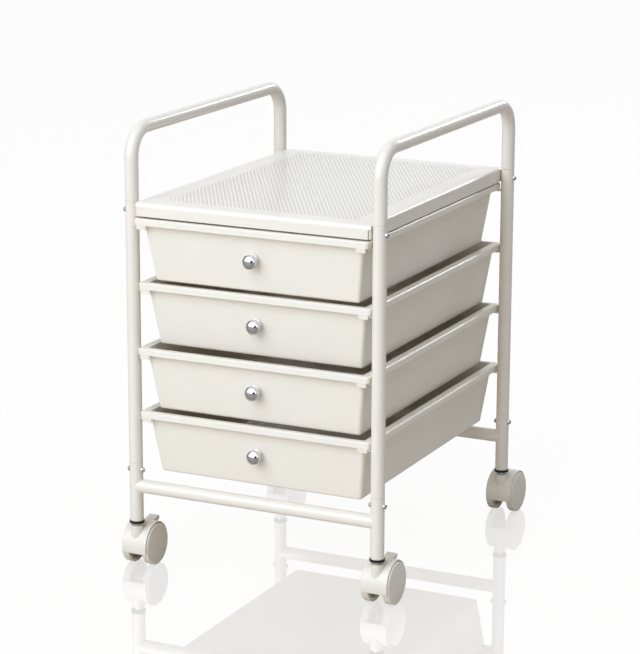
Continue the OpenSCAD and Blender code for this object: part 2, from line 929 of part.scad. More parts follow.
handle(-1);  // handle_left
handle(1);  // handle_right
post(-1, 0);  // post_front_left
post(1, 0);  // post_front_right
post(-1, 1);  // post_rear_left
post(1, 1);  // post_rear_right
leg(-1, 0);  // leg_front_left
leg(1, 0);  // leg_front_right
leg(-1, 1);  // leg_rear_left
leg(1, 1);  // leg_rear_right
base_bar(0);  // base_bar_front
base_bar(1);  // base_bar_rear
shelf();
rail(-1, 0);  // rail_1_left
rail(1, 0);  // rail_1_right
rail(-1, 1);  // rail_2_left
rail(1, 1);  // rail_2_right
rail(-1, 2);  // rail_3_left
rail(1, 2);  // rail_3_right
rail(-1, 3);  // rail_4_left
rail(1, 3);  // rail_4_right
color(CHROME) at_posts(shelf_bolt_z) shelf_bolt($side);  // shelf_bolts
color(STEEL) at_posts(shelf_bolt_z) shelf_nut($side);  // shelf_nuts
color(CHROME) at_posts(leg_bolt_z) leg_bolt($side);  // leg_bolts
color(CHROME) at_posts(leg_bolt_z) leg_cap_nut($side);  // leg_cap_nuts
color(BLACK)  // caster_inserts
        for (sx = SIDES, y = POST_Y)
            translate([sx * post_x, y, flange_z])
                caster_insert();
color(STEEL)  // caster_stems
        for (sx = SIDES, y = POST_Y)
            translate([sx * post_x, y, 0])
                caster_stem();
drawer(0);  // drawer_1
drawer(1);  // drawer_2
drawer(2);  // drawer_3
drawer(3);  // drawer_4
knob(0);  // knob_1
knob(1);  // knob_2
knob(2);  // knob_3
knob(3);  // knob_4
knob_screw(0);  // knob_screw_1
knob_screw(1);  // knob_screw_2
knob_screw(2);  // knob_screw_3
knob_screw(3);  // knob_screw_4
at_caster(-1, 0) hood(true);  // hood_front_left
at_caster(1, 0) hood(true);  // hood_front_right
at_caster(-1, 1) hood(false);  // hood_rear_left
at_caster(1, 1) hood(false);  // hood_rear_right
at_caster(-1, 0) axle();  // axle_front_left
at_caster(1, 0) axle();  // axle_front_right
at_caster(-1, 1) axle();  // axle_rear_left
at_caster(1, 1) axle();  // axle_rear_right
at_caster(-1, 0) wheel(-1);  // wheel_front_left_outer
at_caster(-1, 0) wheel(1);  // wheel_front_left_inner
at_caster(1, 0) wheel(1);  // wheel_front_right_outer
at_caster(1, 0) wheel(-1);  // wheel_front_right_inner
at_caster(-1, 1) wheel(-1);  // wheel_rear_left_outer
at_caster(-1, 1) wheel(1);  // wheel_rear_left_inner
at_caster(1, 1) wheel(1);  // wheel_rear_right_outer
at_caster(1, 1) wheel(-1);  // wheel_rear_right_inner
at_caster(-1, 0) lever();  // lever_front_left
at_caster(1, 0) lever();  // lever_front_right
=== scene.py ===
"""Dresses the rolling drawer cart.

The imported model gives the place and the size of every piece. This script finishes the tubes,
rails and fasteners as they come, and stands a finer mesh in for the perforated shelf, the
moulded bins, the turned knobs and the casters. -Y is the front, Z is up, lengths are metres.
"""
from __future__ import annotations

import json
import logging
import math
from dataclasses import dataclass, field
from enum import Enum
from typing import Any, Callable, Sequence

import bmesh
import bpy
from mathutils import Matrix, Vector

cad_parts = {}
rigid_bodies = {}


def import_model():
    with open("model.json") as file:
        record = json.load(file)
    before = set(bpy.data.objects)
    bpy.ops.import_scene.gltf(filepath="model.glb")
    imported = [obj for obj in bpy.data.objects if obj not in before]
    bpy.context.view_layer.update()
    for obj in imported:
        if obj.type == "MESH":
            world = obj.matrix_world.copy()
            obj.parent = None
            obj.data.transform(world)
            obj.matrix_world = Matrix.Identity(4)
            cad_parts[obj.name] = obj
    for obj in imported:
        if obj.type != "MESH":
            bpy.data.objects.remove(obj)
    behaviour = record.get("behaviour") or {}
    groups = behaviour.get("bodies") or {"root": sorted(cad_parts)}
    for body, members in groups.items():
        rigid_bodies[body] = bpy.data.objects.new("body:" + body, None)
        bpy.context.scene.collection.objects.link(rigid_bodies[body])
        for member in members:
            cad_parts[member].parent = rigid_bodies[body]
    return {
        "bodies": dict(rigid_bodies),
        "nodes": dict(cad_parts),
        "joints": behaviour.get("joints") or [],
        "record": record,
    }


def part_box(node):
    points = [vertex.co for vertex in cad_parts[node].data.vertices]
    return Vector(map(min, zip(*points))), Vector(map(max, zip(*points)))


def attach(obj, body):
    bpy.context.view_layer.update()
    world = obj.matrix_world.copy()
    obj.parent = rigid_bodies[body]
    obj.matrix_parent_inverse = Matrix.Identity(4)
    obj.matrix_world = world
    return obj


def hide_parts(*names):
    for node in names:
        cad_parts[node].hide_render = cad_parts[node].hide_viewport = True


LOG = logging.getLogger("cart")
MM = 0.001
Triple = tuple[float, float, float]
Pair = tuple[float, float]
Ring = list[Vector]
Turn = Callable[[float, float, float], Vector]
WHITE: Triple = (1.0, 1.0, 1.0)
BLACK: Triple = (0.0, 0.0, 0.0)


# Shader maths


class Shade:
    """One output socket of a node tree, with the arithmetic that the finishes use."""

    def __init__(self, recipe: Recipe, socket: bpy.types.NodeSocket | None) -> None:
        """Wraps the socket of a node in this recipe."""
        self.recipe = recipe
        self.socket = socket

    def _math(self, operation: str, *terms: Shade | float, clamp: bool = False) -> Shade:
        """Adds one Math node with these inputs, its result held between 0 and 1 if clamped."""
        settings = {"operation": operation, "use_clamp": clamp}
        return self.recipe.add("ShaderNodeMath", settings, dict(enumerate(terms)))

    def __add__(self, other: Shade | float) -> Shade:
        """Sum of two values."""
        return self._math("ADD", self, other)

    def __radd__(self, other: float) -> Shade:
        """Sum with a number on the left."""
        return self._math("ADD", other, self)

    def __sub__(self, other: Shade | float) -> Shade:
        """Difference of two values."""
        return self._math("SUBTRACT", self, other)

    def __rsub__(self, other: float) -> Shade:
        """Difference from a number on the left."""
        return self._math("SUBTRACT", other, self)

    def __mul__(self, other: Shade | float) -> Shade:
        """Product of two values."""
        return self._math("MULTIPLY", self, other)

    def __rmul__(self, other: float) -> Shade:
        """Product with a number on the left."""
        return self._math("MULTIPLY", other, self)

    def __pow__(self, power: float) -> Shade:
        """The value raised to a power."""
        return self._math("POWER", self, power)

    def clamped(self) -> Shade:
        """The value held between 0 and 1."""
        return self._math("ADD", self, 0.0, clamp=True)


class Recipe:
    """The node tree of a material, a lamp or the world, and the one method that adds nodes."""

    def __init__(self, owner: bpy.types.Material | bpy.types.World | bpy.types.Light) -> None:
        """Empties the tree.

        Args:
            owner: the new material, world or lamp.
        """
        self.owner = owner
        self.owner.use_nodes = True
        self.tree = self.owner.node_tree
        self.tree.nodes.clear()

    @classmethod
    def named(cls, name: str) -> Recipe:
        """Starts a material of this name."""
        return cls(bpy.data.materials.new(name))

    def add(self, kind: str, settings: dict[str, Any] | None = None,
            values: dict[str | int, Any] | None = None, output: str | int = 0) -> Shade:
        """Adds any node.

        Args:
            kind: the node's type name.
            settings: its properties, set before its sockets.
            values: input name or number to a constant or a Shade.
            output: the output that is returned.

        Returns:
            The chosen output, or an empty one for a node that has none.
        """
        node = self.tree.nodes.new(kind)
        for name, value in (settings or {}).items():
            setattr(node, name, value)
        for name, value in (values or {}).items():
            if isinstance(value, Shade):
                self.tree.links.new(value.socket, node.inputs[name])
            else:
                node.inputs[name].default_value = value
        return Shade(self, node.outputs[output] if node.outputs else None)

    def place(self) -> Shade:
        """Position on the piece, in metres, that stays with it as it moves."""
        return self.add("ShaderNodeTexCoord", output="Object")

    def noise(self, size: float, detail: float, stretch: Triple | None = None) -> Shade:
        """Noise whose grains are about one size.

        Args:
            size: the size of a grain, in metres.
            detail: how many finer layers it has.
            stretch: how often the grains repeat along each axis, against their size.

        Returns:
            A value from 0 to 1.
        """
        place = self.place()
        if stretch:
            place = self.add("ShaderNodeVectorMath", {"operation": "MULTIPLY"},
                             {0: place, 1: stretch})
        return self.add("ShaderNodeTexNoise",
                        values={"Vector": place, "Scale": 1.0 / size, "Detail": detail})

    def tint(self, factor: Shade, colour: Triple, low: float, high: float) -> Shade:
        """The colour times low where the factor is 0, and times high where it is 1."""
        ends = [(*(value * share for value in colour), 1.0) for share in (low, high)]
        return self.add("ShaderNodeMix", {"data_type": "RGBA"},
                        {0: factor, 6: ends[0], 7: ends[1]}, output=2)

    def bump(self, height: Shade, depth: float, **under: Shade) -> Shade:
        """Normal of a relief of this depth, in metres; Normal= is one that it lies on."""
        return self.add("ShaderNodeBump",
                        values={"Height": height, "Distance": depth, "Strength": 1.0, **under})

    def coated(self, finish: PowderCoat | MouldedPlastic, cloud: Shade, fine: Shade,
               values: dict[str, Any]) -> bpy.types.Material:
        """Finishes a material of paint or plastic.

        Args:
            finish: its colour, roughness and refraction.
            cloud: where the colour is thinner, from 0 to 1.
            fine: where the surface is rougher, from 0 to 1.
            values: what else goes into the Principled shader.

        Returns:
            The finished material.
        """
        low, high = 1.0 - finish.cloud_depth, 1.0 + finish.cloud_depth / 2
        return self.finish(self.add("ShaderNodeBsdfPrincipled", values={
            "Base Color": self.tint(cloud, finish.colour, low, high),
            "Roughness": (finish.roughness - finish.spread / 2) + finish.spread * fine,
            "IOR": finish.ior, **values}))

    def rays(self, *kinds: str) -> Shade:
        """Whether the ray is of one of these kinds.

        Args:
            kinds: outputs of the Light Path node.

        Returns:
            1 for such a ray, 0 for any other.
        """
        found = self.add("ShaderNodeLightPath", output=kinds[0])
        for kind in kinds[1:]:
            other = self.add("ShaderNodeLightPath", output=kind)
            found = self.add("ShaderNodeMath", {"operation": "MAXIMUM"}, {0: found, 1: other})
        return found

    def late(self) -> Shade:
        """1 for light that has left a matt surface more than once, 0 for any other."""
        return (self.add("ShaderNodeLightPath", output="Diffuse Depth") - 1.0).clamped()

    def blend(self, factor: Shade | float, first: Shade, second: Shade) -> Shade:
        """The first shader where the factor is 0, the second where it is 1."""
        return self.add("ShaderNodeMixShader", values={0: factor, 1: first, 2: second})

    def finish(self, surface: Shade) -> bpy.types.Material | bpy.types.World | bpy.types.Light:
        """Connects the surface.

        Args:
            surface: the shader to show.

        Returns:
            The finished material, world or lamp.
        """
        kind = {bpy.types.World: "World", bpy.types.Material: "Material"}.get(
            type(self.owner), "Light")
        self.add(f"ShaderNodeOutput{kind}", values={"Surface": surface})
        return self.owner


# Finishes


@dataclass(frozen=True)
class PowderCoat:
    """Sprayed and baked paint, with a fine orange peel and slightly thinner colour in places."""

    name: str
    colour: Triple
    roughness: float = 0.34
    spread: float = 0.1
    peel_size: float = 1.6 * MM
    peel_depth: float = 0.012 * MM
    speck: float = 0.25
    cloud_size: float = 45 * MM
    cloud_depth: float = 0.02
    ior: float = 1.5
    coat: float = 0.25
    coat_roughness: float = 0.12

    def material(self) -> bpy.types.Material:
        """Builds the paint's material."""
        recipe = Recipe.named(self.name)
        cloud = recipe.noise(self.cloud_size, 3.0)
        peel = recipe.noise(self.peel_size, 1.0)
        speck = recipe.noise(self.peel_size * self.speck, 1.0)
        relief = recipe.bump(peel, self.peel_depth,
                             Normal=recipe.bump(speck, self.peel_depth * self.speck))
        return recipe.coated(self, cloud, peel, {
            "Normal": relief, "Coat Weight": self.coat, "Coat Roughness": self.coat_roughness})


@dataclass(frozen=True)
class MouldedPlastic:
    """Injection-moulded plastic, with the mould's spark grain and faint flow clouds."""

    name: str
    colour: Triple
    roughness: float = 0.46
    spread: float = 0.12
    grain_size: float = 0.7 * MM
    grain_depth: float = 0.012 * MM
    grain_ease: float = 0.6
    fine_size: float = 0.45
    fine_depth: float = 0.5
    cloud_size: float = 60 * MM
    cloud_depth: float = 0.02
    ior: float = 1.49
    specular: float = 0.45

    def material(self) -> bpy.types.Material:
        """Builds the plastic's material."""
        recipe = Recipe.named(self.name)
        cloud = recipe.noise(self.cloud_size, 2.0)
        grain = recipe.add("ShaderNodeTexVoronoi", {"feature": "SMOOTH_F1"}, {
            "Vector": recipe.place(), "Scale": 1.0 / self.grain_size,
            "Smoothness": self.grain_ease})
        fine = recipe.noise(self.grain_size * self.fine_size, 2.0)
        relief = recipe.bump(grain, self.grain_depth,
                             Normal=recipe.bump(fine, self.grain_depth * self.fine_depth))
        return recipe.coated(self, cloud, fine, {
            "Normal": relief, "Specular IOR Level": self.specular})


@dataclass(frozen=True)
class Plating:
    """Bright plated metal, with polishing haze and hairline scratches."""

    name: str
    colour: Triple
    roughness: float = 0.08
    haze_size: float = 5 * MM
    haze_dull: float = 0.05
    scratch_size: float = 0.25 * MM
    scratch_depth: float = 0.002 * MM
    scratch_dull: float = 0.03
    stretch: Triple = (1.0, 0.08, 1.0)

    def material(self) -> bpy.types.Material:
        """Builds the metal's material."""
        recipe = Recipe.named(self.name)
        haze = recipe.noise(self.haze_size, 3.0)
        scratch = recipe.noise(self.scratch_size, 3.0, self.stretch)
        dull = self.haze_dull * haze ** 2.0 + self.scratch_dull * scratch
        return recipe.finish(recipe.add("ShaderNodeBsdfPrincipled", values={
            "Base Color": recipe.tint(haze, self.colour, 0.95, 1.0),
            "Metallic": 1.0,
            "Roughness": self.roughness + dull,
            "Normal": recipe.bump(scratch, self.scratch_depth),
        }))


@dataclass(frozen=True)
class StudioFloor:
    """White gloss acrylic that shows the cart's faint shadow and its faint mirror image; in
    reflections it is partly black, a painted shade.
    """

    name: str = "studio_floor"
    colour: Triple = (0.90, 0.885, 0.85)
    roughness: float = 0.3
    ior: float = 1.45
    shine: float = 0.0
    mirror: float = 0.27
    shadow: float = 0.08
    dusk: float = 0.6

    def material(self) -> bpy.types.Material:
        """Builds the floor's material."""
        recipe = Recipe.named(self.name)
        base = recipe.add("ShaderNodeBsdfPrincipled", values={
            "Base Color": (*self.colour, 1.0), "Roughness": self.roughness, "IOR": self.ior})
        white = recipe.add("ShaderNodeEmission")
        gloss = recipe.add("ShaderNodeBsdfAnisotropic",
                           values={"Color": (*WHITE, 1.0), "Roughness": self.shine})
        shown = recipe.blend(self.mirror, recipe.blend(self.shadow, white, base), gloss)
        # Painted shade: as glossy rays see it, the floor is partly a black matt surface, by the dusk
        # share.
        painted_reflected_shade = recipe.add("ShaderNodeBsdfDiffuse", values={"Color": (*BLACK, 1.0)})
        around = recipe.blend(self.dusk * recipe.rays("Is Glossy Ray"), base, painted_reflected_shade)
        return recipe.finish(recipe.blend(recipe.rays("Is Camera Ray"), around, shown))


class Finish(Enum):
    """The finishes that the cart's pieces share."""

    FRAME_PAINT = PowderCoat("frame_powder_coat", (0.895, 0.887, 0.862))
    RAIL_PAINT = PowderCoat("rail_powder_coat", (0.86, 0.85, 0.82), roughness=0.4)
    BIN_PLASTIC = MouldedPlastic("bin_moulding", (0.905, 0.905, 0.878), roughness=0.34,
                                 grain_depth=0.006 * MM)
    CASTER_PLASTIC = MouldedPlastic("caster_moulding", (0.86, 0.855, 0.825), roughness=0.36,
                                    grain_depth=0.006 * MM, cloud_size=12 * MM)
    WHEEL_PLASTIC = MouldedPlastic("wheel_moulding", (0.84, 0.835, 0.82), roughness=0.42,
                                   grain_size=0.5 * MM, cloud_size=10 * MM)
    BLACK_NYLON = MouldedPlastic("black_nylon", (0.012, 0.012, 0.012), roughness=0.4,
                                 cloud_size=6 * MM)
    CHROME = Plating("knob_chrome", (0.73, 0.74, 0.76), roughness=0.05)
    ZINC = Plating("zinc_steel", (0.39, 0.395, 0.405), stretch=(1.0, 1.0, 0.1))

    @property
    def material(self) -> bpy.types.Material:
        """The finish's material, made when it is first asked for."""
        return bpy.data.materials.get(self.value.name) or self.value.material()


# Mesh work


def middle(node: str) -> Vector:
    """Middle of a node's box."""
    low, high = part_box(node)
    return (low + high) / 2


def extent(node: str) -> Vector:
    """Size of a node's box."""
    low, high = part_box(node)
    return high - low


def placed(name: str, data: bpy.types.ID) -> bpy.types.Object:
    """Makes an object of the scene.

    Args:
        name: its name.
        data: its mesh, lamp or camera.

    Returns:
        The object.
    """
    thing = bpy.data.objects.new(name, data)
    bpy.context.scene.collection.objects.link(thing)
    return thing


def arc(centre: Pair, radius: float, start: float, end: float, steps: int) -> list[Pair]:
    """Points of an arc between two angles, in degrees, both ends included."""
    turns = (math.radians(start + (end - start) * step / steps) for step in range(steps + 1))
    return [(centre[0] + radius * math.cos(t), centre[1] + radius * math.sin(t)) for t in turns]


def ribbon(spine: Sequence[Pair], half: float, steps: int) -> list[Pair]:
    """Outline of a bent bar with round ends and round outer corners.

    Args:
        spine: the points of its middle line.
        half: half its thickness.
        steps: how many pieces a half turn is cut into.

    Returns:
        The outline, in order round it.
    """
    outline: list[Pair] = []
    for path in (list(spine), list(reversed(spine))):
        ways = [math.degrees(math.atan2(b[1] - a[1], b[0] - a[0])) for a, b in zip(path, path[1:])]
        for joint, here, there in zip(path[1:], ways, ways[1:]):
            turn = (there - here + 180) % 360 - 180
            if turn > 0:
                outline += arc(joint, half, here - 90, here - 90 + turn, steps // 2)
            else:
                reach = half / math.cos(math.radians(turn / 2))
                outline += arc(joint, reach, here - 90 + turn / 2, here - 90 + turn / 2, 1)[:1]
        outline += arc(path[-1], half, ways[-1] - 90, ways[-1] + 90, steps)
    return outline


class Shape:
    """A mesh in the making."""

    def __init__(self) -> None:
        """Starts an empty mesh."""
        self.mesh = bmesh.new()

    def skin(self, rings: Sequence[Ring], looped: bool = False, capped: bool = False) -> None:
        """Joins rings of equally many points with quads.

        Args:
            rings: the rings, in order.
            looped: whether the last ring joins the first.
            capped: whether the end rings are closed with one face each.
        """
        made = [[self.mesh.verts.new(point) for point in ring] for ring in rings]
        pairs = list(zip(made, made[1:]))
        if looped:
            pairs.append((made[-1], made[0]))
        for low, high in pairs:
            for here in range(len(low)):
                there = (here + 1) % len(low)
                self.mesh.faces.new((low[here], low[there], high[there], high[here]))
        if capped:
            self.mesh.faces.new(reversed(made[0]))
            self.mesh.faces.new(made[-1])

    def turned(self, profile: Sequence[Pair], turn: Turn, steps: int, looped: bool = False) -> None:
        """Turns a profile of radius and place, each point put by turn(across, up, along)."""
        angles = [math.tau * step / steps for step in range(steps)]
        self.skin([[turn(radius * math.cos(a), radius * math.sin(a), along) for a in angles]
                   for radius, along in profile], looped)

    def slab(self, outline: Sequence[Pair], low: float, high: float) -> None:
        """Extrudes an outline in Y and Z along X, from low to high."""
        self.skin([[Vector((x, y, z)) for y, z in outline] for x in (low, high)], capped=True)

    def block(self, low: Vector, high: Vector) -> None:
        """Adds a box between two corners."""
        outline = [(low.y, low.z), (high.y, low.z), (high.y, high.z), (low.y, high.z)]
        self.slab(outline, low.x, high.x)

    def moved(self, offset: Vector) -> Shape:
        """Moves everything made so far."""
        bmesh.ops.translate(self.mesh, vec=offset, verts=self.mesh.verts)
        return self

    def made(self, name: str) -> bpy.types.Object:
        """Welds poles and seams, turns every face outwards and frees the shape.

        Args:
            name: the name of the object that it becomes.

        Returns:
            The object.
        """
        bmesh.ops.remove_doubles(self.mesh, verts=self.mesh.verts, dist=0.002 * MM)
        bmesh.ops.dissolve_degenerate(self.mesh, edges=self.mesh.edges, dist=0.001 * MM)
        bmesh.ops.recalc_face_normals(self.mesh, faces=self.mesh.faces)
        mesh = bpy.data.meshes.new(name)
        self.mesh.to_mesh(mesh)
        self.mesh.free()
        return placed(name, mesh)


@dataclass(frozen=True)
class Edge:
    """How a piece's sharp edges are rounded, above an angle in degrees."""

    width: float = 0.0
    segments: int = 2
    angle: float = 50.0


class Bench:
    """Turns shapes into pieces that ride on the frame."""

    sharp_angle = 32.0

    def __init__(self, frame: dict[str, Any]) -> None:
        self.frame = frame

    def body_of(self, node: str) -> str:
        """The name of the body that a node belongs to."""
        bodies = self.frame["record"]["behaviour"]["bodies"]
        return next(body for body, nodes in bodies.items() if node in nodes)

    def dress(self, starts: tuple[str, ...], finish: Finish) -> None:
        """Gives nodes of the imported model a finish.

        Args:
            starts: how their names start.
            finish: the finish.
        """
        for name, node in self.frame["nodes"].items():
            if name.startswith(starts):
                node.data.materials.clear()
                node.data.materials.append(finish.material)
                LOG.info("dressed %s in %s", name, finish.name.lower())

    def stand(self, name: str, shape: Shape, finish: Finish, node: str, edge: Edge = Edge(),
              sheet: float = 0.0, cut: Shape | None = None) -> None:
        """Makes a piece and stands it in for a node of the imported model.

        Args:
            name: the piece's name.
            shape: its mesh.
            finish: its finish.
            node: the node that it replaces.
            edge: how its sharp edges are rounded.
            sheet: the thickness that a bare skin is given, inwards.
            cut: the shape that is taken out of it.
        """
        piece = shape.made(name)
        cutter = cut.made(f"{name}_cutter") if cut else None
        if cutter:
            self._modify(piece, "BOOLEAN", object=cutter, use_self=True)
        if sheet:
            self._modify(piece, "SOLIDIFY", thickness=sheet, offset=-1.0)
        if edge.width:
            self._modify(piece, "BEVEL", width=edge.width, segments=edge.segments,
                         limit_method="ANGLE", angle_limit=math.radians(edge.angle))
            self._modify(piece, "WEIGHTED_NORMAL", keep_sharp=True)
            piece.data.shade_smooth()
        graph = bpy.context.evaluated_depsgraph_get()
        graph.update()
        baked = bpy.data.meshes.new_from_object(piece.evaluated_get(graph))
        piece.modifiers.clear()
        piece.data = baked
        if not edge.width:
            baked.shade_smooth()
            baked.set_sharp_from_angle(angle=math.radians(self.sharp_angle))
        if cutter:
            bpy.data.objects.remove(cutter)
        piece.data.materials.clear()
        piece.data.materials.append(finish.material)
        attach(piece, self.body_of(node))
        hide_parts(node)
        LOG.info("made %s for %s", name, node)

    @staticmethod
    def _modify(piece: bpy.types.Object, kind: str, **settings: Any) -> None:
        """Adds a modifier.

        Args:
            piece: the piece that it works on.
            kind: its type name.
            settings: its properties.
        """
        modifier = piece.modifiers.new(kind.lower(), kind)
        for name, value in settings.items():
            setattr(modifier, name, value)


# The cart


@dataclass
class TubeFrame:
    """Handles, posts, legs, base bars and rails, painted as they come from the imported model."""

    bench: Bench
    tubes: tuple[str, ...] = ("handle_", "post_", "leg_front", "leg_rear", "base_bar_")
    rails: tuple[str, ...] = ("rail_",)

    def build(self) -> None:
        """Paints the frame."""
        self.bench.dress(self.tubes, Finish.FRAME_PAINT)
        self.bench.dress(self.rails, Finish.RAIL_PAINT)


@dataclass
class Fasteners:
    """Bolts, nuts, screws, stems, axles and inserts, finished as they come."""

    bench: Bench
    plated: tuple[str, ...] = ("shelf_bolts", "leg_bolts", "leg_cap_nuts", "caster_stems")
    zinc: tuple[str, ...] = ("shelf_nuts", "knob_screw_", "axle_")
    nylon: tuple[str, ...] = ("caster_inserts",)

    def build(self) -> None:
        """Finishes the small metal pieces and the inserts."""
        self.bench.dress(self.plated, Finish.CHROME)
        self.bench.dress(self.zinc, Finish.ZINC)
        self.bench.dress(self.nylon, Finish.BLACK_NYLON)


@dataclass
class PerforatedShelf:
    """Folded sheet with staggered rows of small round holes."""

    bench: Bench
    node: str = "shelf"
    sheet: float = 1.2 * MM
    bend: float = 5 * MM
    bend_side: float = 1.2 * MM
    bend_steps: int = 6
    lift: float = 0.6 * MM
    slit: float = 0.7 * MM
    corner: float = 2.2 * MM
    corner_steps: int = 6
    hole: float = 2.6 * MM
    pitch: float = 5.2 * MM
    hole_steps: int = 12
    least_edge: float = 0.45
    plain_side: float = 24.5 * MM
    plain_front: float = 20.5 * MM
    flat_edge: float = 0.6 * MM
    weld: float = 0.02 * MM
    shape: Shape = field(default_factory=Shape)
    low: Vector = field(init=False)
    high: Vector = field(init=False)

    def build(self) -> None:
        """Makes the shelf and stands it in for the plainer one."""
        self.low, self.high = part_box(self.node)
        self._field()
        self._border()
        self._folds()
        self.bench.stand("perforated_shelf", self.shape, Finish.FRAME_PAINT, self.node,
                         sheet=self.sheet)

    @property
    def centre(self) -> Vector:
        """Middle of the shelf's top."""
        spot = (self.low + self.high) / 2
        return Vector((spot.x, spot.y, self.high.z))

    @property
    def half(self) -> Pair:
        """Half the shelf's width and depth."""
        size = self.high - self.low
        return size.x / 2, size.y / 2

    def _field(self) -> None:
        """Adds the perforated field, one six-sided cell round each hole."""
        half_w, half_d = self.half
        row_gap = self.pitch * math.sqrt(3) / 2
        columns = int(2 * (half_w - self.plain_side) / self.pitch)
        rows = int(2 * (half_d - self.plain_front) / row_gap)
        for row in range(rows):
            count = columns - row % 2
            for column in range(count):
                self._cell(self.centre + Vector((
                    (column - (count - 1) / 2) * self.pitch, (row - (rows - 1) / 2) * row_gap, 0)))
        bmesh.ops.remove_doubles(self.shape.mesh, verts=self.shape.mesh.verts, dist=self.weld)

    def _cell(self, spot: Vector) -> None:
        """Adds the sheet round one hole.

        Args:
            spot: the hole's centre.
        """
        mesh = self.shape.mesh
        inner, outer = [], []
        for step in range(self.hole_steps):
            turn = math.tau * step / self.hole_steps
            reach = self.pitch / 2 if step % 2 == 0 else self.pitch / math.sqrt(3)
            ray = Vector((math.cos(turn), math.sin(turn), 0))
            inner.append(mesh.verts.new(spot + ray * self.hole / 2))
            outer.append(mesh.verts.new(spot + ray * reach))
        for here in range(self.hole_steps):
            there = (here + 1) % self.hole_steps
            mesh.faces.new((inner[here], outer[here], outer[there], inner[there]))

    def _border(self) -> None:
        """Fills the plain sheet between the field and the bends; holes have shorter edges."""
        mesh = self.shape.mesh
        least = self.pitch / math.sqrt(3) * self.least_edge
        rim = [edge for edge in mesh.edges if edge.is_boundary and edge.calc_length() > least]
        x, y = (self._reach(axis, (-self.flat_edge, 0.0)) for axis in (0, 1))
        ends = [mesh.verts.new(self.centre + Vector((sx * x, sy * y, 0)))
                for sx, sy in ((-1, -1), (1, -1), (1, 1), (-1, 1))]
        frame = [mesh.edges.new((ends[i], ends[(i + 1) % 4])) for i in range(4)]
        bmesh.ops.triangle_fill(mesh, use_beauty=True, edges=rim + frame,
                                normal=Vector((0, 0, 1)))

    def _folds(self) -> None:
        """Adds the bends and the folded edges, with a slit at each end of the front and back."""
        half_w, half_d = self.half
        drop = self.high.z - self.low.z - self.lift
        stations = [(-self.flat_edge, 0.0),
                    *arc((0.0, -self.bend), self.bend, 90, 0, self.bend_steps),
                    (self.bend, -self.bend - self.flat_edge), (self.bend, -drop)]
        for near, far in zip(stations, stations[1:]):
            flange = near[1] < -self.bend
            for side in (-1, 1):
                self._strip(near, far, Vector((0, side, 0)),
                            half_w - self.corner - self.slit if flange else None)
                self._strip(near, far, Vector((side, 0, 0)),
                            half_d - self.corner if flange else None)
        for turn in (0, 90, 180, 270):
            self._corner(turn, -self.bend - self.flat_edge - self.slit, -drop)

    def _reach(self, axis: int, station: Pair) -> float:
        """Distance of a station of the bend from the shelf's middle.

        Args:
            axis: 0 for the crisp bend along a side, 1 for the round one at the front or back.
            station: outward and upward place in the round bend, from its start.

        Returns:
            The distance, along X or Y.
        """
        out, height = station
        if axis == 0 and height < 0:
            out = min(-height, self.bend_side)
        return self.half[axis] - (self.bend_side, self.bend)[axis] + out

    def _corner(self, turn: float, top: float, bottom: float) -> None:
        """Adds the turned-in corner beside a slit.

        Args:
            turn: where the corner lies, in degrees from the rear right one.
            top: height of its upper edge.
            bottom: height of its lower edge.
        """
        half_w, half_d = self.half
        way = (1 if turn in (0, 270) else -1, 1 if turn in (0, 90) else -1)
        spot = (way[0] * (half_w - self.corner), way[1] * (half_d - self.corner))
        rows = [[self.shape.mesh.verts.new(self.centre + Vector((x, y, z))) for x, y in
                 arc(spot, self.corner, turn, turn + 90, self.corner_steps)]
                for z in (top, bottom)]
        for a, b, c, d in zip(rows[0], rows[1], rows[1][1:], rows[0][1:]):
            self.shape.mesh.faces.new((a, b, c, d))

    def _strip(self, near: Pair, far: Pair, way: Vector, end: float | None) -> None:
        """Adds one strip of a fold along one side of the shelf.

        Args:
            near: outward and upward place of its upper edge, from the start of the bend.
            far: the same for its lower edge.
            way: the side that it faces.
            end: where it ends, from the middle, or None to meet its neighbour at the corner.
        """
        across, beside = (0, 1) if way.x else (1, 0)
        along = Vector((abs(way.y), abs(way.x), 0))
        quad = []
        for station, side in ((near, -1), (far, -1), (far, 1), (near, 1)):
            reach = end or self._reach(beside, station)
            quad.append(self.centre + way * self._reach(across, station)
                        + along * side * reach + Vector((0, 0, station[1])))
        self.shape.mesh.faces.new([self.shape.mesh.verts.new(point) for point in quad])


@dataclass(frozen=True)
class Station:
    """One ring of a bin's section: how far in from the rim's outline, how high, how round."""

    side: float
    front: float
    rear: float
    height: float
    radius: float


